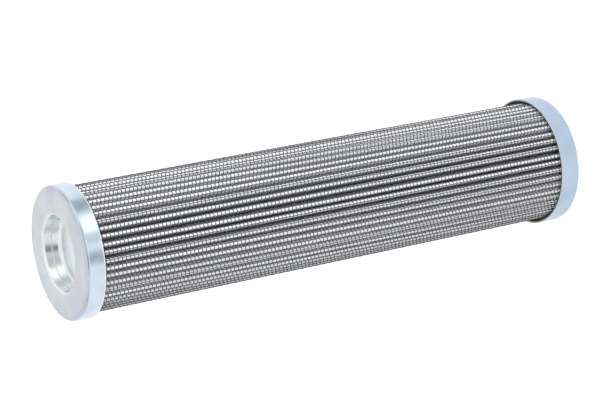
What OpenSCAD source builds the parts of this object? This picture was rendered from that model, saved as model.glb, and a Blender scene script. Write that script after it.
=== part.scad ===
// Pleated hydraulic filter cartridge, standing on its open end.
// Origin at the centre of the open end's face, +Z along the axis towards the closed end.

/* [Overall] */
// Outside diameter of both end caps
cap_d = 48; // [46:0.5:54]
// Length over both end caps
total_len = 204; // [120:1:260]

/* [End caps] */
// Height of the open end's skirt
open_cap_h = 8.3; // [7.2:0.1:10]
// Height of the closed end's skirt
closed_cap_h = 7; // [6.6:0.1:10]
// Sheet thickness of the caps
cap_t = 0.5; // [0.4:0.05:0.7]
// Outside radius of the bend from face to skirt
cap_bend_r = 1.5; // [1.2:0.1:2.4]
// Outside radius of the bend from face to socket or bore
mouth_r = 1; // [0.8:0.1:1.6]

/* [Locating socket in the closed end] */
// Diameter of the socket above its step
socket_d = 27.2; // [22:0.1:27.4]
// Depth of the step below the face
step_depth = 3.3; // [2.5:0.1:4]
// Width of the step
step_w = 1; // [0.2:0.1:1.2]
// Depth of the socket's floor below the face
socket_depth = 6.7; // [6:0.1:8]
// Radius of the corner between the socket's wall and floor
socket_corner_r = 1.4; // [0.5:0.1:2]

/* [Outlet bore in the open end] */
// Diameter of the bore
bore_d = 26; // [22:0.5:27]
// Length of the collar between the face and the seal groove
collar_len = 3.2; // [2.6:0.1:3.4]
// Diameter of the groove's bottom
groove_d = 28.4; // [28:0.1:29]
// Cord diameter of the bore seal
seal_cord_d = 2; // [1.8:0.1:2.1]

/* [Centre tube] */
// Wall of the centre tube
tube_wall = 1; // [0.6:0.1:1.2]
// Diameter of the tube's holes
hole_d = 6; // [4:0.5:8]
// Holes round the tube, an even number
holes_round = 8; // [6:2:10]
// Distance between rows of holes
hole_row_pitch = 12; // [10:0.5:16]
// Plain length of the tube between each cap's skirt and its first row
hole_margin = 8; // [5:0.5:16]

/* [Pleats] */
// Number of pleats
pleat_count = 48; // [40:1:49]
// Width of the gap between neighbouring pleats at their roots
valley_gap = 0.2; // [0.16:0.01:0.3]
// Gap between the pleat tips and the inside of the skirts
tip_gap = 1; // [0.3:0.05:1.2]
// Largest lean of a pleat to either side, about its root, in degrees
pleat_lean = 1.7; // [0:0.1:2]

/* [Layers] */
// Diameter of the coated wire of the outer mesh
wire_d = 0.32; // [0.28:0.01:0.42]
// Distance between neighbouring wires of the outer mesh
wire_pitch = 1.54; // [1.3:0.02:1.8]
// Thickness of the outer support fleece
outer_fleece_t = 0.08; // [0.05:0.01:0.1]
// Thickness of the filter medium
media_t = 0.22; // [0.15:0.01:0.24]
// Thickness of the inner support fleece
inner_fleece_t = 0.06; // [0.04:0.01:0.08]
// Thickness of the inner wire mesh
inner_mesh_t = 0.08; // [0.06:0.01:0.1]

/* [Adhesive] */
// Depth of the adhesive in each cap, from the face
adhesive_h = 6; // [4:0.1:6.4]
// Adhesive between each cap's plate and the ends of the pleats
adhesive_bed = 0.9; // [0.5:0.1:1.2]
// How far the seam's bond reaches up the pleats from their roots
seam_bond_h = 3.4; // [2:0.1:4]

/* [Hidden] */
$fn = 96;

// Gap between layers, and between a bonded piece and its seat
layer_gap = 0.02;
bond_gap = 0.05;
// Adhesive that stands over the caps' inner bends at least
bend_cover = 0.3;
// Overshoot of a cutting shape
over = 1;

cap_r = cap_d / 2;
skirt_in_r = cap_r - cap_t;
socket_r = socket_d / 2;
bore_r = bore_d / 2;
groove_r = groove_d / 2;

// The groove holds the seal with a third of the cord's width to spare
groove_w = 1.3 * seal_cord_d;
groove_end = collar_len + groove_w;
neck_len = groove_end + cap_t;
neck_out_r = groove_r + cap_t;

// The tube slips over the groove's back
tube_in_r = max(neck_out_r, socket_r + cap_t) + 0.2;
tube_r = tube_in_r + tube_wall;

// The pleated pack, from its tips to its roots
pack_start = max(cap_t + adhesive_bed, mouth_r + bend_cover);
pack_len = total_len - 2 * pack_start;
tip_r = skirt_in_r - tip_gap;
mesh_t = wire_d;
pack_t = mesh_t + outer_fleece_t + media_t + inner_fleece_t + inner_mesh_t + 4 * layer_gap;
root_r = tube_r + 2 * bond_gap + pack_t;
pleat_w = 2 * PI * root_r / pleat_count - valley_gap;
tip_mid_r = tip_r - pleat_w / 2;
// How far a pleat's round crest stands out from its flat sides
crest_swell = 0.01;

// The adhesive's upper part starts here, as wide as clears the skirt's bend
fill_start = pack_start - bond_gap;
fill_r = cap_r - cap_bend_r - bond_gap
       + sqrt(pow(cap_bend_r - cap_t, 2) - pow(max(0, cap_bend_r - fill_start), 2));

// Depth of each layer's outer surface below the pack's
fleece_at = mesh_t + layer_gap;
media_at = fleece_at + outer_fleece_t + layer_gap;
inner_fleece_at = media_at + media_t + layer_gap;
inner_mesh_at = inner_fleece_at + inner_fleece_t + layer_gap;

// The mesh's hoop wires are drawn as one band under the wires that run along the pleats
band_at = 0.1;
// A pleat's length across its profile, along the middle of the wires
wire_arc_r = (pleat_w - wire_d) / 2;
pleat_run = PI * wire_arc_r + 2 * (tip_mid_r - root_r + wire_d / 2)
          + 2 * PI * (root_r - wire_d / 2) / pleat_count - 2 * wire_arc_r;
// How far from a pleat's crest its lengthwise wires are drawn
wire_reach = 1.9;
// Band left beside each wire at a slot
slot_edge = 0.06;
slot_half_angle = (wire_pitch / 2 - wire_d / 2 - slot_edge) / wire_arc_r * 180 / PI;

// The valley, on the side away from the photograph's view, that holds the pack's seam
seam_valley = round(pleat_count / 4);

function pleat_angle(i) = 360 / pleat_count * i;
// The lean differs from pleat to pleat, as it does on a hand-fitted pack
function lean(i) = pleat_lean * sin(137 * i);
// Distance from a pleat's crest to the nearest lengthwise wire of the sheet, which runs on
// from pleat to pleat
function wire_phase(i) = let (turns = i * pleat_run / wire_pitch)
    (0.5 - turns + floor(turns)) * wire_pitch;
// Angle about the crest's centre of a point at distance s along the profile
function crest_angle(s) = s / wire_arc_r * 180 / PI;
// Place of a wire at distance s from the crest, on its round tip or down its side
function wire_at(s) = abs(crest_angle(s)) <= 90
    ? [tip_mid_r + wire_arc_r * cos(crest_angle(s)), wire_arc_r * sin(crest_angle(s))]
    : [tip_mid_r - (abs(s) - wire_arc_r * PI / 2), sign(s) * wire_arc_r];

// Quarter ring of bent sheet about a centre, in the quadrant that side_x and side_y name
module bend(centre, outer_r, side_x, side_y) {
    translate(centre)
        intersection() {
            difference() {
                circle(outer_r);
                circle(outer_r - cap_t);
            }
            translate([side_x > 0 ? 0 : -outer_r, side_y > 0 ? 0 : -outer_r]) square(outer_r);
        }
}

// Section through a drawn cap: plate, skirt and the collar turned in at its middle
module cap_section(inner_r, skirt_h, inner_len) {
    bend_mid_r = cap_r - cap_bend_r;
    translate([inner_r + mouth_r, 0]) square([bend_mid_r - inner_r - mouth_r, cap_t]);
    translate([cap_r - cap_t, cap_bend_r]) square([cap_t, skirt_h - cap_bend_r]);
    bend([bend_mid_r, cap_bend_r], cap_bend_r, 1, -1);
    bend([inner_r + mouth_r, mouth_r], mouth_r, -1, -1);
    translate([inner_r, mouth_r]) square([cap_t, inner_len - mouth_r]);
}

// Puts what is drawn for a pleat along +X into place i, leaning about its root
module on_pleat(i) {
    rotate(pleat_angle(i))
        translate([root_r, 0]) rotate(lean(i)) translate([-root_r, 0]) children();
}

// Outline of the pack's surface at a depth below its outermost one
module pleat_outline(depth) {
    crest_r = pleat_w / 2 - depth;
    side_y = crest_r - crest_swell;
    circle(root_r - depth);
    for (i = [0 : pleat_count - 1])
        on_pleat(i) {
            translate([root_r / 2, -side_y]) square([tip_mid_r - root_r / 2, 2 * side_y]);
            translate([tip_mid_r, 0]) circle(crest_r);
        }
}

module pleated_layer(depth, thickness) {
    translate([0, 0, pack_start])
        linear_extrude(pack_len)
            difference() {
                pleat_outline(depth);
                pleat_outline(depth + thickness);
            }
}

// Drawn cup with a collar turned in, folded into a groove for the seal
module open_end_cap() {
    color("lightsteelblue")
        rotate_extrude() {
            cap_section(bore_r, open_cap_h, collar_len);
            translate([bore_r, collar_len - cap_t]) square([neck_out_r - bore_r, cap_t]);
            translate([groove_r, collar_len - cap_t]) square([cap_t, groove_w + 2 * cap_t]);
            translate([bore_r, groove_end]) square([neck_out_r - bore_r, cap_t]);
        }
}

// Drawn cup with a stepped blind socket
module closed_end_cap() {
    lower_r = socket_r - step_w;
    corner_z = socket_depth - socket_corner_r;
    color("lightsteelblue")
        translate([0, 0, total_len])
            mirror([0, 0, 1])
                rotate_extrude() {
                    cap_section(socket_r, closed_cap_h, step_depth + cap_t);
                    translate([lower_r, step_depth]) square([step_w + cap_t, cap_t]);
                    translate([lower_r, step_depth]) square([cap_t, corner_z - step_depth]);
                    bend([lower_r - socket_corner_r, corner_z], socket_corner_r + cap_t, 1, 1);
                    translate([0, socket_depth]) square([lower_r - socket_corner_r, cap_t]);
                }
}

// Perforated core, with its rows of holes staggered
module center_tube() {
    first_row = max(open_cap_h, closed_cap_h) + hole_margin;
    rows = floor((total_len - 2 * first_row) / hole_row_pitch);
    row_shift = (total_len - rows * hole_row_pitch) / 2;
    color("gainsboro")
        difference() {
            translate([0, 0, pack_start]) cylinder(r = tube_r, h = pack_len);
            translate([0, 0, pack_start - over])
                cylinder(r = tube_in_r, h = pack_len + 2 * over);
            for (row = [0 : rows])
                translate([0, 0, row_shift + row * hole_row_pitch])
                    for (k = [0 : holes_round / 2 - 1])
                        rotate([90, 0, (k + (row % 2) / 2) * 360 / holes_round])
                            cylinder(d = hole_d, h = 2 * tube_r + 2 * over, center = true);
        }
}

// Coated wire mesh: wires along each crest on the band of hoop wires, open between two of them
module outer_wire_mesh() {
    slot_start = open_cap_h + over;
    slot_end = total_len - closed_cap_h - over;
    color("dimgray")
        difference() {
            translate([0, 0, pack_start])
                linear_extrude(pack_len) {
                    difference() {
                        pleat_outline(band_at);
                        pleat_outline(mesh_t);
                    }
                    for (i = [0 : pleat_count - 1])
                        on_pleat(i)
                            for (k = [-2 : 2])
                                let (s = wire_phase(i) + k * wire_pitch)
                                    if (abs(s) < wire_reach)
                                        translate(wire_at(s)) circle(d = wire_d);
                }
            translate([0, 0, slot_start])
                linear_extrude(slot_end - slot_start)
                    for (i = [0 : pleat_count - 1])
                        on_pleat(i) crest_slot(i);
        }
}

// Wedge from the crest's centre that opens the band between the two wires nearest the crest
module crest_slot(i) {
    middle = wire_phase(i) + (wire_phase(i) > 0 ? -1 : 1) * wire_pitch / 2;
    reach = pleat_w;
    translate([tip_mid_r, 0])
        rotate(crest_angle(middle))
            polygon([[0, 0],
                     [reach * cos(slot_half_angle), -reach * sin(slot_half_angle)],
                     [reach * cos(slot_half_angle), reach * sin(slot_half_angle)]]);
}

module outer_fleece() {
    color("white") pleated_layer(fleece_at, outer_fleece_t);
}

module filter_media() {
    color("ivory") pleated_layer(media_at, media_t);
}

module inner_fleece() {
    color("whitesmoke") pleated_layer(inner_fleece_at, inner_fleece_t);
}

module inner_wire_mesh() {
    color("silver") pleated_layer(inner_mesh_at, inner_mesh_t);
}

// Resin in one valley, where the two ends of the pleated sheet meet
module side_seam_bond() {
    start = adhesive_h + bond_gap;
    middle = (pleat_angle(seam_valley) + pleat_angle(seam_valley + 1)) / 2;
    half_w = pleat_w / 2;
    color("tan")
        translate([0, 0, start])
            linear_extrude(total_len - 2 * start)
                difference() {
                    rotate(middle)
                        translate([root_r - half_w, -half_w])
                            square([seam_bond_h + half_w, 2 * half_w]);
                    pleat_outline(-layer_gap);
                }
}

// Room for a cap's bend and for the sheet turned in after it
module collar_room(inner_r) {
    translate([0, 0, -over]) {
        cylinder(r = inner_r + mouth_r + bond_gap, h = over + mouth_r + bond_gap);
        cylinder(r = inner_r + cap_t + bond_gap, h = adhesive_h + 2 * over);
    }
}

// Adhesive round the ends of the pleats, on a bed that covers them and the tube's end
module end_adhesive(inner_r) {
    color("dimgray") {
        difference() {
            translate([0, 0, cap_t + bond_gap])
                cylinder(r = cap_r - cap_bend_r, h = pack_start - cap_t - 2 * bond_gap);
            collar_room(inner_r);
        }
        translate([0, 0, fill_start])
            linear_extrude(adhesive_h - fill_start)
                difference() {
                    circle(fill_r);
                    pleat_outline(-bond_gap);
                }
    }
}

module open_end_adhesive() {
    end_adhesive(bore_r);
}

// At the closed end the adhesive also fills the ring between socket and tube
module closed_end_adhesive() {
    translate([0, 0, total_len])
        mirror([0, 0, 1]) {
            end_adhesive(socket_r);
            color("dimgray")
                difference() {
                    translate([0, 0, cap_t + bond_gap])
                        cylinder(r = tube_in_r - bond_gap, h = adhesive_h - cap_t - bond_gap);
                    collar_room(socket_r);
                }
        }
}

// Ring of round cord that stands a little into the bore
module bore_seal() {
    color("black")
        translate([0, 0, collar_len + groove_w / 2])
            rotate_extrude()
                translate([groove_r - layer_gap - seal_cord_d / 2, 0])
                    circle(d = seal_cord_d);
}

open_end_cap();
closed_end_cap();
center_tube();
outer_wire_mesh();
outer_fleece();
filter_media();
inner_fleece();
inner_wire_mesh();
side_seam_bond();
open_end_adhesive();
closed_end_adhesive();
bore_seal();
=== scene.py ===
"""Looks of a pleated hydraulic filter cartridge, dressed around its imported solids."""

import math

import bpy
import numpy as np
from mathutils import Matrix, Vector


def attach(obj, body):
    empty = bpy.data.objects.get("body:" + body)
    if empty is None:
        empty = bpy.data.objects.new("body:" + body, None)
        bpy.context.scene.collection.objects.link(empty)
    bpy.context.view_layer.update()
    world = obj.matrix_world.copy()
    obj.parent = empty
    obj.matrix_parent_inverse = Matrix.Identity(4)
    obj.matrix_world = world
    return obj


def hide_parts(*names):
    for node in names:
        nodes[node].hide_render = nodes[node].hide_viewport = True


MM = 0.001

# Camera, from the photograph's outlines
CAMERA_PLACE = (0.002177, -0.751756, 0.500883)
CAMERA_TARGET = (0.002177, 0.0, 0.10744)
CAMERA_ROLL = -101.117
SENSOR_WIDTH = 36.0
LENS = 139.705

# Pleated pack, the same sizes as the solids
PLEATS = 48
ROOT_RADIUS = 16.84 * MM
TIP_RADIUS = 22.5 * MM
VALLEY_GAP = 0.2 * MM
PLEAT_WIDTH = 2 * math.pi * ROOT_RADIUS / PLEATS - VALLEY_GAP
TIP_MIDDLE = TIP_RADIUS - PLEAT_WIDTH / 2
PACK_BOTTOM = 1.4 * MM
PACK_TOP = 202.6 * MM
# Largest lean of a pleat, and how far its wave moves on from pleat to pleat, in degrees
LEAN = 1.7
LEAN_STEP = 137
# Sideways waves of a pleat with height: size, radians per metre, radians from pleat to pleat
WANDER_WAVES = ((0.05 * MM, 55, 2.4), (0.03 * MM, 131, 4.1))

# Woven mesh; a level is a depth below the pleat's outermost surface
WIRE_PITCH = 1.54 * MM
WIRE_RADIUS = 0.145 * MM
WIRE_LEVEL = 0.12 * MM
HOOP_RADIUS = 0.185 * MM
HOOP_LEVEL = 0.25 * MM
FIRST_HOOP = 6.6 * MM
HOOP_PITCH = 1.526 * MM
HOOPS = 126
HOOP_PIECES = 3
# How far the wires step over and under each other, and how far from a crest they do
CRIMP = 0.05 * MM
CRIMPED_REACH = 2.7 * MM
# Sides of a wire's section
WIRE_SIDES = 4
# Points of a hoop over each crest, and how far from the crest they reach
CREST_STEPS = 8
CREST_REACH = 1.85 * MM
# Most lengthwise wires to each side of a crest, and the points of those that run straight
WIRES_BESIDE = 4
STRAIGHT_POINTS = 18
# Drift of the lengthwise wires across a crest, in pitches: over the full height, and as a wave
# with its radians over the height and from pleat to pleat
DRIFT = 0.4
DRIFT_WAVE = (0.15, 3.1, 1.3)
# Waves in a hoop's height: round the element, with its turns and radians per metre of height,
# and over each crest, with its radians from pleat to pleat and per metre from the crest
ROUND_WAVE = (0.1 * MM, 3, 40)
CREST_WAVE = (0.05 * MM, 2.7, 300)

# Heights of the skirts' cut edges
OPEN_SKIRT = 8.3 * MM
CLOSED_SKIRT = 197.0 * MM

# Zinc plate: its colour on skirts and faces; on the walls and flats of a socket or bore, lighter,
# as painted light against the shade of the recess; a painted highlight beside a cut edge; and the
# cut edge itself
SKIRT_ZINC = (0.580, 0.662, 0.752, 1)
FACE_ZINC = (0.632, 0.662, 0.690, 1)
WALL_ZINC_PAINTED_LIGHT = (0.820, 0.845, 0.845, 1)
FLOOR_ZINC_PAINTED_LIGHT = (0.940, 0.955, 0.990, 1)
RIM_HIGHLIGHT_ZINC = (0.85, 0.86, 0.87, 1)
CUT_EDGE = (0.42, 0.40, 0.35, 1)
# Painted shade of each cap, which multiplies the colour: the open cap is darker and bluer,
# standing in for the shadowed floor beside it that its skirt reflects
OPEN_PAINTED_SHADE = (0.81, 0.85, 0.905, 1)
CLOSED_PAINTED_SHADE = (1.0, 1.0, 1.0, 1)
# Radii at which a socket or bore gives way to the face, and the face to the outer bend
MOUTH_RADII = (13.8 * MM, 14.6 * MM)
BEND_RADII = (22.4 * MM, 23.1 * MM)
# Reach of the cut edge's colour, and of the painted highlight beside it
EDGE_REACH = 0.1 * MM
RIM_HIGHLIGHT_REACH = 0.5 * MM
# Roughness added on the flats of a socket, and on the outer bend
FLOOR_MATT = 0.25
BEND_MATT = 0.2
# How far the shading of the pressed walls and of the stretch with the painted rim highlight leans
# outwards
WALL_LEAN = 0.45
RIM_LEAN = 0.25
# Tinted rings of a face: inner, middle and outer radius, and tint
FACE_RINGS = ((13.8 * MM, 15.2 * MM, 18.0 * MM, (1.03, 1.02, 0.97, 1)),
              (17.6 * MM, 19.8 * MM, 22.0 * MM, (0.96, 1.01, 1.03, 1)),
              (20.8 * MM, 22.6 * MM, 26.0 * MM, (0.96, 0.93, 1.02, 1)))
RING_WAVER = 3.5 * MM
# Stains: scale of the noise, its values where they begin and are full, and tint
STAINS = ((55, 0.38, 0.56, (0.96, 1.02, 0.99, 1)),
          (38, 0.50, 0.66, (1.04, 0.98, 1.03, 1)),
          (95, 0.42, 0.60, (0.87, 0.88, 0.91, 1)))
STAIN_STRENGTH = 0.7

# Fine cloth: radians of its weave per turn round the axis, and per metre along it
CLOTH_ROUND = 402.0
CLOTH_ALONG = 12566.0

# Studio
FLOOR_HALF = 5.0
FLOOR_COLOUR = (0.35, 0.35, 0.35, 1)
FLOOR_GLOW = 0.71
WHITE = (1.0, 1.0, 1.0, 1)
# Reflectors round the object: turn of both ends from the photograph's side, in degrees, heights
# of both edges, strength, colour, and the share of its length over which each end fades
CARD_RADIUS = 0.25
CARD_STEPS = 24
EDGE_FADE = 0.3
CARDS = (("softbox_low", (24, 55), (0.0, 0.19), 1.85, (1.0, 1.0, 0.98), 0.14),
         ("front_flag_low", (-30, -3), (0.0, 0.19), 0.52, (0.9, 0.95, 1.0), 0.3),
         ("middle_flag_low", (6, 24), (0.0, 0.19), 0.87, (0.97, 0.97, 1.0), 0.14),
         ("side_flag_low", (56, 92), (0.0, 0.19), 0.55, (0.85, 0.93, 1.0), 0.25),
         ("rim_glare", (-38, 22), (0.184, 0.21), 1.8, (1.0, 1.0, 1.0), 0.2),
         ("softbox_high", (42, 76), (0.22, 0.48), 1.38, (1.0, 1.0, 0.97), 0.14),
         ("front_flag_high", (-40, -2), (0.2, 0.42), 0.0, (1.0, 1.0, 1.0), 0.45),
         ("middle_flag_high", (-4, 40), (0.2, 0.42), 0.6, (0.9, 0.9, 1.0), 0.14),
         ("side_flag_high", (78, 118), (0.2, 0.42), 0.6, (0.9, 0.95, 0.95), 0.25),
         ("far_flag_high", (-105, -68), (0.2, 0.42), 0.6, (0.97, 0.97, 1.0), 0.4))
# Lamps: place, size and power; all point at the object's middle
LAMP_TARGET = (0, 0, 0.1)
LAMPS = (("key", (2.4, -1.4, 1.4), 1.4, 36),
         ("fill", (0.5, -2.7, 1.3), 1.8, 52),
         ("back", (0.6, 2.6, 1.5), 1.8, 16))


def on_pleat(i, x, y):
    """Moves points drawn for a pleat along +X into place i, leaning about its root."""
    tilt = math.radians(LEAN * math.sin(math.radians(LEAN_STEP * i)))
    turn = 2 * math.pi * i / PLEATS
    dx = x - ROOT_RADIUS
    x, y = (ROOT_RADIUS + dx * math.cos(tilt) - y * math.sin(tilt),
            dx * math.sin(tilt) + y * math.cos(tilt))
    return x * math.cos(turn) - y * math.sin(turn), x * math.sin(turn) + y * math.cos(turn)


def side_length():
    """Length of the mesh from a pleat's crest to its root."""
    return (PLEAT_WIDTH / 2 - WIRE_LEVEL) * (math.pi / 2 - 1) + TIP_RADIUS - ROOT_RADIUS


def profile(s, level):
    """Points at distance s from the crest, at a level below the pleat's surface."""
    radius = PLEAT_WIDTH / 2 - WIRE_LEVEL
    angle = np.clip(s / radius, -math.pi / 2, math.pi / 2)
    down = np.maximum(np.abs(s) - radius * math.pi / 2, 0)
    reach = PLEAT_WIDTH / 2 - level
    return TIP_MIDDLE + reach * np.cos(angle) - down, reach * np.sin(angle)


def wire_phase(i):
    """Distance from a crest to a lengthwise wire of the sheet, which runs on between pleats."""
    root = 2 * math.pi * (ROOT_RADIUS - WIRE_LEVEL) / PLEATS - 2 * (PLEAT_WIDTH / 2 - WIRE_LEVEL)
    turns = i * (2 * side_length() + root) / WIRE_PITCH
    return (0.5 - turns + math.floor(turns)) * WIRE_PITCH


def drift(i, z):
    """How far the lengthwise wires move across the crest with height.

    They do so because folds and wires aren't quite parallel.
    """
    size, along, step = DRIFT_WAVE
    share = z / PACK_TOP
    return WIRE_PITCH * (DRIFT * share + size * np.sin(along * share + step * i))


def wander(i, x, z):
    """Sideways wave of a pleat, none at its root."""
    share = np.clip((x - ROOT_RADIUS) / (TIP_RADIUS - ROOT_RADIUS), 0, 1)
    return share * sum(size * np.sin(along * z + step * i) for size, along, step in WANDER_WAVES)


def sway(i, place, heights):
    """Wave of a hoop's height, round the element and over each crest."""
    round_size, turns, up = ROUND_WAVE
    crest_size, step, across = CREST_WAVE
    return (round_size * np.sin(2 * math.pi * turns * i / PLEATS + up * heights)
            + crest_size * np.sin(step * i + across * place))


def wires(name, paths, closed, radius):
    """One mesh of round wires, from paths of the shape (wires, points, 3)."""
    count, points, _ = paths.shape
    if closed:
        ahead = np.roll(paths, -1, axis=1) - np.roll(paths, 1, axis=1)
        outward = np.cross(ahead, np.array([0.0, 0.0, 1.0]))
    else:
        ahead = np.gradient(paths, axis=1)
        outward = paths * np.array([1.0, 1.0, 0.0])
    ahead /= np.linalg.norm(ahead, axis=2, keepdims=True)
    outward -= ahead * np.sum(outward * ahead, axis=2, keepdims=True)
    outward /= np.linalg.norm(outward, axis=2, keepdims=True)
    across = np.cross(ahead, outward)
    turns = 2 * math.pi * np.arange(WIRE_SIDES) / WIRE_SIDES
    ring = (np.cos(turns)[:, None] * outward[:, :, None, :]
            + np.sin(turns)[:, None] * across[:, :, None, :])
    verts = (paths[:, :, None, :] + radius * ring).reshape(-1, 3)
    wire = np.arange(count)[:, None, None]
    point = np.arange(points if closed else points - 1)[None, :, None]
    corner = np.arange(WIRE_SIDES)[None, None, :]
    after = (point + 1) % points
    beside = (corner + 1) % WIRE_SIDES

    def index(at_point, at_corner):
        return (wire * points + at_point) * WIRE_SIDES + at_corner

    faces = np.stack([index(point, corner), index(point, beside),
                      index(after, beside), index(after, corner)], axis=-1).reshape(-1, 4)
    mesh = bpy.data.meshes.new(name)
    mesh.from_pydata(verts.tolist(), [], faces.tolist())
    mesh.shade_smooth()
    piece = bpy.data.objects.new(name, mesh)
    bpy.context.scene.collection.objects.link(piece)
    return piece


def hoop_paths(numbers):
    """Wires round the element, in and out of each valley, over and under the lengthwise ones."""
    heights = FIRST_HOOP + numbers * HOOP_PITCH
    places = np.concatenate([[-side_length()],
                             np.linspace(-CREST_REACH, CREST_REACH, CREST_STEPS + 1),
                             [side_length()]])
    rows = []
    for i in range(PLEATS):
        for place in places:
            past = (place - wire_phase(i) - drift(i, heights)) / WIRE_PITCH
            turns = i + past + numbers
            raised = CRIMP * np.cos(math.pi * turns) * (abs(place) < CRIMPED_REACH)
            x, y = profile(np.full(len(heights), place), HOOP_LEVEL - raised)
            x, y = on_pleat(i, x, y + wander(i, x, heights))
            rows.append(np.stack([x, y, heights + sway(i, place, heights)], axis=1))
    return np.stack(rows, axis=1)


def lengthwise_paths(heights, numbers, nearest, farthest):
    """Wires along the pleats whose distance from a crest lies between two values."""
    rows = []
    for i in range(PLEATS):
        for k in range(-WIRES_BESIDE, WIRES_BESIDE + 1):
            start = wire_phase(i) + k * WIRE_PITCH
            if not nearest <= abs(start) < farthest:
                continue
            s = np.clip(start + drift(i, heights), -side_length(), side_length())
            raised = -CRIMP * np.cos(math.pi * (i + k + numbers))
            x, y = profile(s, WIRE_LEVEL - raised)
            x, y = on_pleat(i, x, y + wander(i, x, heights))
            rows.append(np.stack([x, y, heights], axis=1))
    return np.stack(rows, axis=0)


def make_mesh():
    """The woven outer mesh, in place of the plain solid."""
    made = []
    numbers = np.arange(HOOPS)
    for part, chunk in enumerate(np.array_split(numbers, HOOP_PIECES)):
        made.append(wires(f"hoop_wires_{part + 1}", hoop_paths(chunk), True, HOOP_RADIUS))
    heights = FIRST_HOOP + numbers * HOOP_PITCH
    heights = np.concatenate([[PACK_BOTTOM], heights, [PACK_TOP]])
    steps = np.concatenate([[-0.5], numbers, [HOOPS - 0.5]])
    made.append(wires("crest_wires", lengthwise_paths(heights, steps, 0, CRIMPED_REACH),
                      False, WIRE_RADIUS))
    heights = np.linspace(PACK_BOTTOM, PACK_TOP, STRAIGHT_POINTS)
    steps = np.full(STRAIGHT_POINTS, 0.5)
    made.append(wires("side_wires", lengthwise_paths(heights, steps, CRIMPED_REACH, side_length()),
                      False, WIRE_RADIUS))
    return made


def node(tree, kind, inputs=None, **settings):
    """Adds a node; inputs holds values or sockets to link."""
    made = tree.nodes.new(kind)
    for key, value in settings.items():
        setattr(made, key, value)
    fill_in(tree, made, inputs or {})
    return made


def fill_in(tree, target, inputs):
    """Gives a node's inputs their values, or links them to sockets."""
    for key, value in inputs.items():
        if isinstance(value, bpy.types.NodeSocket):
            tree.links.new(value, target.inputs[key])
        else:
            target.inputs[key].default_value = value


def math_node(tree, operation, a, b=0.0):
    return node(tree, "ShaderNodeMath", {0: a, 1: b}, operation=operation).outputs[0]


def product(tree, *values):
    result = values[0]
    for value in values[1:]:
        result = math_node(tree, "MULTIPLY", result, value)
    return result


def spread(tree, value, low, high, to_low=0.0, to_high=1.0):
    """Maps low to to_low and high to to_high, without going past them."""
    return node(tree, "ShaderNodeMapRange", {"Value": value, "From Min": low, "From Max": high,
                                             "To Min": to_low, "To Max": to_high}).outputs[0]


def blend(tree, share, a, b, how="MIX"):
    return node(tree, "ShaderNodeMix", {0: share, 6: a, 7: b}, data_type="RGBA",
                blend_type=how).outputs[2]


def tinted(tree, share, colour, tint):
    """Multiplies a colour by a tint, as far as share says."""
    return blend(tree, share, colour, blend(tree, 1.0, colour, tint, "MULTIPLY"))


def noise(tree, place, scale, detail=2.0, roughness=0.5):
    return node(tree, "ShaderNodeTexNoise", {"Vector": place, "Scale": scale, "Detail": detail,
                                             "Roughness": roughness}).outputs["Fac"]


def bump(tree, height, distance, strength, normal=None):
    inputs = {"Height": height, "Distance": distance, "Strength": strength}
    if normal is not None:
        inputs["Normal"] = normal
    return node(tree, "ShaderNodeBump", inputs).outputs[0]


def combined(tree, inputs):
    return node(tree, "ShaderNodeCombineXYZ", inputs).outputs[0]


def split(tree, vector):
    return node(tree, "ShaderNodeSeparateXYZ", {0: vector}).outputs


def material(name):
    """A new material, its node tree, its shader and the object's coordinates."""
    made = bpy.data.materials.new(name)
    made.use_nodes = True
    tree = made.node_tree
    place = node(tree, "ShaderNodeTexCoord").outputs["Object"]
    return made, tree, tree.nodes["Principled BSDF"], place


def stretched(tree, place, x, y, z):
    return node(tree, "ShaderNodeMapping", {"Vector": place, "Scale": (x, y, z)}).outputs[0]


def radius_of(tree, place):
    flat = node(tree, "ShaderNodeVectorMath", {0: place, 1: (1.0, 1.0, 0.0)}, operation="MULTIPLY")
    return node(tree, "ShaderNodeVectorMath", {0: flat.outputs[0]}, operation="LENGTH").outputs[1]


def leaning(tree, normal, lean):
    """Tips a normal up by as much as lean says."""
    tilt = combined(tree, {2: lean})
    tipped = node(tree, "ShaderNodeVectorMath", {0: normal, 1: tilt}, operation="ADD").outputs[0]
    return node(tree, "ShaderNodeVectorMath", {0: tipped}, operation="NORMALIZE").outputs[0]


def zinc_tints(tree, place, radius, flat, colour):
    """Adds the faint rings of a cap's face and its stains to a colour."""
    uneven = product(tree, math_node(tree, "SUBTRACT", noise(tree, place, 70), 0.5), RING_WAVER)
    ring = math_node(tree, "ADD", radius, uneven)
    for inner, middle, outer, tint in FACE_RINGS:
        share = product(tree, spread(tree, ring, inner, middle),
                        spread(tree, ring, middle, outer, 1.0, 0.0), flat)
        colour = tinted(tree, share, colour, tint)
    for scale, begin, full, tint in STAINS:
        patch = noise(tree, place, scale, detail=1.0)
        share = spread(tree, patch, begin, full, 0.0, STAIN_STRENGTH)
        colour = tinted(tree, share, colour, tint)
    return colour


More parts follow.
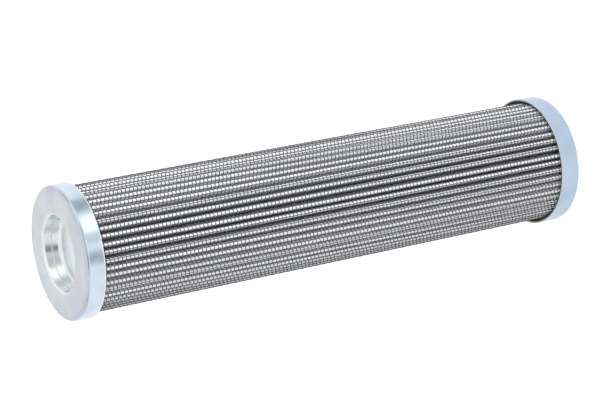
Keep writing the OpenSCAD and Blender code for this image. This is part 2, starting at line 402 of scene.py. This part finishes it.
def zinc(name, shade, edge_height, rim):
    """Bright zinc plate: pale blue, with faint rainbow tints, drawing marks and a dull cut edge.

    shade multiplies the colour as painted shade, edge_height is the height of the skirt's cut
    edge, and rim, from 0 to 1, says how strong the painted highlight on the skirt beside that edge
    is.
    The walls and flats of a socket or bore get lighter zinc as painted light.
    """
    made, tree, shader, place = material(name)
    radius = radius_of(tree, place)
    facing = split(tree, node(tree, "ShaderNodeNewGeometry").outputs["Normal"])[2]
    flat = spread(tree, math_node(tree, "ABSOLUTE", facing), 0.3, 0.9)
    upright = math_node(tree, "SUBTRACT", 1.0, flat)
    inside = spread(tree, radius, *MOUTH_RADII, 1.0, 0.0)
    height = split(tree, place)[2]
    off_edge = math_node(tree, "ABSOLUTE", math_node(tree, "SUBTRACT", height, edge_height))
    rim_highlight = product(tree, upright,
                        spread(tree, off_edge, EDGE_REACH, RIM_HIGHLIGHT_REACH, rim, 0.0))
    cut = product(tree, flat, math_node(tree, "LESS_THAN", off_edge, EDGE_REACH))

    # Inside a socket or bore the walls and flats take lighter zinc: painted light against the
    # shade of the recess
    colour = blend(tree, inside, blend(tree, flat, SKIRT_ZINC, FACE_ZINC),
                   blend(tree, flat, WALL_ZINC_PAINTED_LIGHT, FLOOR_ZINC_PAINTED_LIGHT))
    colour = zinc_tints(tree, place, radius, flat, colour)
    # The cap's shade darkens the zinc: painted shade, on the open cap standing in for the shadowed
    # floor it reflects
    colour = blend(tree, 1.0, colour, shade, "MULTIPLY")
    # Lighter zinc beside the cut edge: a painted highlight
    colour = blend(tree, rim_highlight, colour, RIM_HIGHLIGHT_ZINC)
    colour = blend(tree, cut, colour, CUT_EDGE)

    roughness = spread(tree, noise(tree, place, 420, detail=3.0), 0.3, 0.7, 0.20, 0.28)
    roughness = math_node(tree, "ADD", roughness, product(tree, flat, inside, FLOOR_MATT))
    bend = product(tree, flat, spread(tree, radius, *BEND_RADII, 0.0, BEND_MATT))
    roughness = math_node(tree, "ADD", roughness, bend)

    marks = product(tree, noise(tree, combined(tree, {0: radius}), 5200), flat)
    normal = bump(tree, marks, 0.0015 * MM, 0.6)
    normal = bump(tree, noise(tree, place, 300), 0.006 * MM, 0.5, normal)
    lean = math_node(tree, "ADD", product(tree, upright, inside, WALL_LEAN),
                     product(tree, rim_highlight, RIM_LEAN))
    fill_in(tree, shader, {"Base Color": colour, "Roughness": roughness, "Metallic": 1.0,
                           "Normal": leaning(tree, normal, lean)})
    return made


def sheet_steel():
    """Tinned sheet of the centre tube, with lengthwise rolling marks."""
    made, tree, shader, place = material("tinned_sheet")
    marks = noise(tree, stretched(tree, place, 1, 1, 0.03), 2600, detail=3.0)
    fill_in(tree, shader, {
        "Base Color": blend(tree, marks, (0.56, 0.59, 0.62, 1), (0.70, 0.72, 0.74, 1)),
        "Roughness": spread(tree, marks, 0.3, 0.7, 0.28, 0.45),
        "Metallic": 1.0,
        "Normal": bump(tree, marks, 0.01 * MM, 0.5)})
    return made


def wire_coat():
    """Satin black epoxy on the wires, slightly uneven."""
    made, tree, shader, place = material("wire_coat")
    patch = noise(tree, place, 700)
    fill_in(tree, shader, {
        "Base Color": blend(tree, patch, (0.095, 0.098, 0.106, 1), (0.130, 0.133, 0.143, 1)),
        "Roughness": spread(tree, patch, 0.3, 0.7, 0.32, 0.5),
        "Normal": bump(tree, noise(tree, place, 5000), 0.02 * MM, 0.5)})
    return made


def fleece():
    """White spunbond: matted fibres over a soft cloud of thicker and thinner places."""
    made, tree, shader, place = material("spunbond_fleece")
    fibres = noise(tree, stretched(tree, place, 1, 1, 0.35), 5200, detail=4.0, roughness=0.7)
    cloud = noise(tree, place, 600)
    colour = blend(tree, spread(tree, fibres, 0.3, 0.7),
                   (0.665, 0.670, 0.695, 1), (0.745, 0.750, 0.775, 1))
    colour = blend(tree, spread(tree, cloud, 0.35, 0.65, 0.0, 0.5), colour,
                   (0.720, 0.725, 0.750, 1))
    fill_in(tree, shader, {"Base Color": colour, "Roughness": 0.9,
                           "Normal": bump(tree, fibres, 0.06 * MM, 0.6)})
    return made


def glass_mat():
    """Cream glass fibre mat of the filter medium."""
    made, tree, shader, place = material("glass_fibre_mat")
    fibres = noise(tree, place, 3800, detail=4.0, roughness=0.65)
    fill_in(tree, shader, {
        "Base Color": blend(tree, fibres, (0.80, 0.77, 0.68, 1), (0.92, 0.90, 0.83, 1)),
        "Roughness": 0.95,
        "Normal": bump(tree, fibres, 0.08 * MM, 0.6)})
    return made


def fine_cloth():
    """Plain steel wire cloth of the inner layer."""
    made, tree, shader, place = material("fine_wire_cloth")
    x, y, z = split(tree, place)
    turn = math_node(tree, "ARCTAN2", y, x)
    across = math_node(tree, "SINE", product(tree, turn, CLOTH_ROUND))
    along = math_node(tree, "SINE", product(tree, z, CLOTH_ALONG))
    weave = math_node(tree, "MAXIMUM", across, along)
    fill_in(tree, shader, {
        "Base Color": blend(tree, spread(tree, weave, -0.4, 0.8),
                            (0.10, 0.10, 0.11, 1), (0.56, 0.57, 0.59, 1)),
        "Roughness": spread(tree, weave, -0.4, 0.8, 0.6, 0.35),
        "Metallic": 1.0,
        "Normal": bump(tree, weave, 0.05 * MM, 0.8)})
    return made


def resin():
    """Dark cured epoxy with a soft gloss, dull patches and an uneven surface."""
    made, tree, shader, place = material("cured_resin")
    patch = noise(tree, place, 260, detail=3.0)
    fill_in(tree, shader, {
        "Base Color": blend(tree, patch, (0.028, 0.026, 0.022, 1), (0.070, 0.066, 0.056, 1)),
        "Roughness": spread(tree, patch, 0.35, 0.65, 0.35, 0.65),
        "Normal": bump(tree, noise(tree, place, 700), 0.2 * MM, 0.5)})
    return made


def rubber():
    """Black moulded nitrile, dulled by a trace of powder."""
    made, tree, shader, place = material("nitrile_rubber")
    powder = noise(tree, place, 1800, detail=3.0)
    fill_in(tree, shader, {
        "Base Color": blend(tree, spread(tree, powder, 0.45, 0.75),
                            (0.014, 0.014, 0.015, 1), (0.045, 0.045, 0.046, 1)),
        "Roughness": spread(tree, powder, 0.4, 0.7, 0.38, 0.6),
        "Normal": bump(tree, powder, 0.02 * MM, 0.5)})
    return made


def seen_directly(tree):
    """1 for camera, glossy and transmission rays, 0 for the rays that light the object."""
    path = node(tree, "ShaderNodeLightPath")
    seen = math_node(tree, "MAXIMUM", path.outputs["Is Camera Ray"], path.outputs["Is Glossy Ray"])
    return math_node(tree, "MAXIMUM", seen, path.outputs["Is Transmission Ray"])


def make_floor():
    """White floor, which shows white where nothing shades it and keeps the soft shadow."""
    mesh = bpy.data.meshes.new("floor")
    half = FLOOR_HALF
    mesh.from_pydata([(-half, -half, 0), (half, -half, 0), (half, half, 0), (-half, half, 0)], [],
                     [(0, 1, 2, 3)])
    floor = bpy.data.objects.new("floor", mesh)
    bpy.context.scene.collection.objects.link(floor)
    made = bpy.data.materials.new("floor_white")
    made.use_nodes = True
    tree = made.node_tree
    fill_in(tree, tree.nodes["Principled BSDF"], {
        "Base Color": FLOOR_COLOUR, "Roughness": 1.0, "Specular IOR Level": 0.0,
        "Emission Color": WHITE,
        "Emission Strength": product(tree, seen_directly(tree), FLOOR_GLOW)})
    mesh.materials.append(made)


def make_card(name, turns, heights, strength, colour, fade):
    """A curved reflector around the object that only its gloss sees, with soft edges."""
    verts, faces, uvs = [], [], []
    for a in range(CARD_STEPS + 1):
        turn = math.radians(turns[0] + (turns[1] - turns[0]) * a / CARD_STEPS)
        for edge, z in enumerate(heights):
            verts.append((CARD_RADIUS * math.sin(turn), -CARD_RADIUS * math.cos(turn), z))
            uvs.append((a / CARD_STEPS, float(edge)))
    for a in range(CARD_STEPS):
        faces.append((2 * a, 2 * a + 2, 2 * a + 3, 2 * a + 1))
    mesh = bpy.data.meshes.new(name)
    mesh.from_pydata(verts, [], faces)
    layer = mesh.uv_layers.new(name="card")
    for loop in mesh.loops:
        layer.data[loop.index].uv = uvs[loop.vertex_index]
    card = bpy.data.objects.new(name, mesh)
    bpy.context.scene.collection.objects.link(card)
    made = bpy.data.materials.new(name)
    made.use_nodes = True
    tree = made.node_tree
    tree.nodes.clear()
    place = split(tree, node(tree, "ShaderNodeUVMap", uv_map="card").outputs[0])
    masks = []
    for axis, edge in ((0, fade), (1, EDGE_FADE)):
        middle = math_node(tree, "ABSOLUTE", math_node(tree, "SUBTRACT", place[axis], 0.5))
        masks.append(spread(tree, middle, 0.5 - edge, 0.5, 1.0, 0.0))
    glow = node(tree, "ShaderNodeEmission", {"Color": (*colour, 1), "Strength": strength})
    clear = node(tree, "ShaderNodeBsdfTransparent")
    mixed = node(tree, "ShaderNodeMixShader", {0: product(tree, *masks), 1: clear.outputs[0],
                                               2: glow.outputs[0]})
    node(tree, "ShaderNodeOutputMaterial", {"Surface": mixed.outputs[0]})
    mesh.materials.append(made)
    card.visible_camera = False
    card.visible_diffuse = False
    card.visible_transmission = False
    card.visible_shadow = False


def make_lamp(name, place, size, power):
    """A round lamp that gloss doesn't show."""
    data = bpy.data.lights.new(name, "AREA")
    data.shape = "DISK"
    data.size = size
    data.energy = power
    lamp = bpy.data.objects.new(name, data)
    lamp.location = place
    lamp.rotation_mode = "QUATERNION"
    lamp.rotation_quaternion = (Vector(place) - Vector(LAMP_TARGET)).to_track_quat("Z", "Y")
    lamp.visible_glossy = False
    bpy.context.scene.collection.objects.link(lamp)


def make_world():
    """White surroundings, for the rays that see them and for those that light the object."""
    world = bpy.data.worlds.new("studio")
    bpy.context.scene.world = world
    world.use_nodes = True
    tree = world.node_tree
    tree.nodes.clear()
    surroundings = node(tree, "ShaderNodeBackground", {"Color": WHITE, "Strength": 1.0})
    node(tree, "ShaderNodeOutputWorld", {"Surface": surroundings.outputs[0]})


def make_camera():
    data = bpy.data.cameras.new("camera")
    data.sensor_width = SENSOR_WIDTH
    data.lens = LENS
    data.clip_start = 0.01
    data.clip_end = 50
    camera = bpy.data.objects.new("camera", data)
    forward = (Vector(CAMERA_TARGET) - Vector(CAMERA_PLACE)).normalized()
    level = forward.cross(Vector((0, 0, 1))).normalized()
    upright = level.cross(forward)
    roll = math.radians(CAMERA_ROLL)
    right = math.cos(roll) * level + math.sin(roll) * upright
    up = right.cross(forward)
    camera.matrix_world = Matrix.Translation(CAMERA_PLACE) @ Matrix(
        (right, up, -forward)).transposed().to_4x4()
    bpy.context.scene.collection.objects.link(camera)
    bpy.context.scene.camera = camera


def dress(nodes, finish, names):
    for name in names:
        slots = nodes[name].data.materials
        slots.clear()
        slots.append(finish)


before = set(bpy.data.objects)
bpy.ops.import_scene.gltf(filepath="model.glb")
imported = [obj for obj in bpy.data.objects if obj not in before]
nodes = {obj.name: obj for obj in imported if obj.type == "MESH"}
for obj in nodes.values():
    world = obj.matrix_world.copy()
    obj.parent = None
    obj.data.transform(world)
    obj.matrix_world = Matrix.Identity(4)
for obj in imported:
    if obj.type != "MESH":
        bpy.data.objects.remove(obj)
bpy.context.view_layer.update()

dress(nodes, zinc("zinc_plate_open_end_painted_shade", OPEN_PAINTED_SHADE, OPEN_SKIRT, 0.0), ("open_end_cap",))
dress(nodes, zinc("zinc_plate_closed_end", CLOSED_PAINTED_SHADE, CLOSED_SKIRT, 1.0), ("closed_end_cap",))
dress(nodes, sheet_steel(), ("center_tube",))
dress(nodes, fleece(), ("outer_fleece", "inner_fleece"))
dress(nodes, glass_mat(), ("filter_media",))
dress(nodes, fine_cloth(), ("inner_wire_mesh",))
dress(nodes, resin(), ("open_end_adhesive", "closed_end_adhesive", "side_seam_bond"))
dress(nodes, rubber(), ("bore_seal",))
coat = wire_coat()
dress(nodes, coat, ("outer_wire_mesh",))
for piece in make_mesh():
    piece.data.materials.append(coat)
    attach(piece, "root")
    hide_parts("outer_wire_mesh")

make_floor()
make_world()
for card in CARDS:
    make_card(*card)
for lamp in LAMPS:
    make_lamp(*lamp)
make_camera()

scene = bpy.context.scene
scene.view_settings.view_transform = "Standard"
